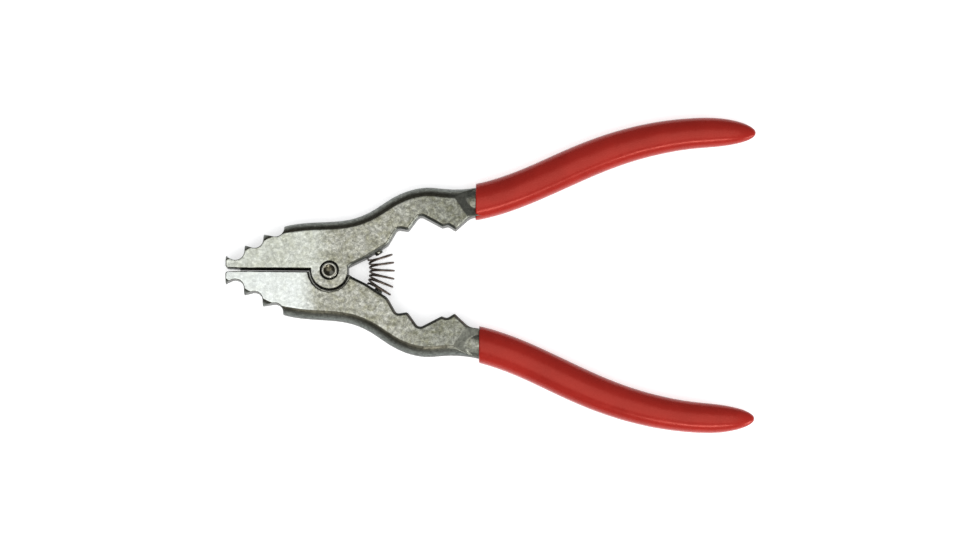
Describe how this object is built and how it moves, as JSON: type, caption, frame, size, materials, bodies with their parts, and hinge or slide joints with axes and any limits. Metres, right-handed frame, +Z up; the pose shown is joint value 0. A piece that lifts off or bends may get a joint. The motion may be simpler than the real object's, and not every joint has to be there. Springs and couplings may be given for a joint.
{
  "type": "chain link pliers",
  "caption": "Reverse-action hand pliers that spread or squeeze chain links: notched forged jaws, riveted lap joint, coil return spring and dipped grips.",
  "frame": {"origin": "centre of the tool's footprint, on the surface it lies on", "axes": "+X from the jaws to the handles, +Y from the lower lever to the upper lever, +Z up through the tool's thickness"},
  "size_m": [0.2011, 0.1202, 0.012],
  "materials": {
    "forged_steel": "shot blasted forging, satin",
    "rivet_steel": "turned, semi-bright",
    "spring_wire": "blackened spring wire",
    "grip_vinyl": "dipped vinyl, glossy red"
  },
  "bodies": {
    "lower_half": {"lever_lower": "forged_steel", "grip_lower": "grip_vinyl", "pivot_rivet": "rivet_steel", "return_spring": "spring_wire"},
    "upper_half": {"lever_upper": "forged_steel", "grip_upper": "grip_vinyl"}
  },
  "joints": [
    {"name": "handle_squeeze", "type": "hinge", "parent": "lower_half", "child": "upper_half", "pos_m": [-0.06115, 0, 0.006], "axis": [0, 0, -1], "range_deg": [0, 15], "stiffness_Nm_per_rad": 0.34, "deforming": ["return_spring"]}
  ]
}
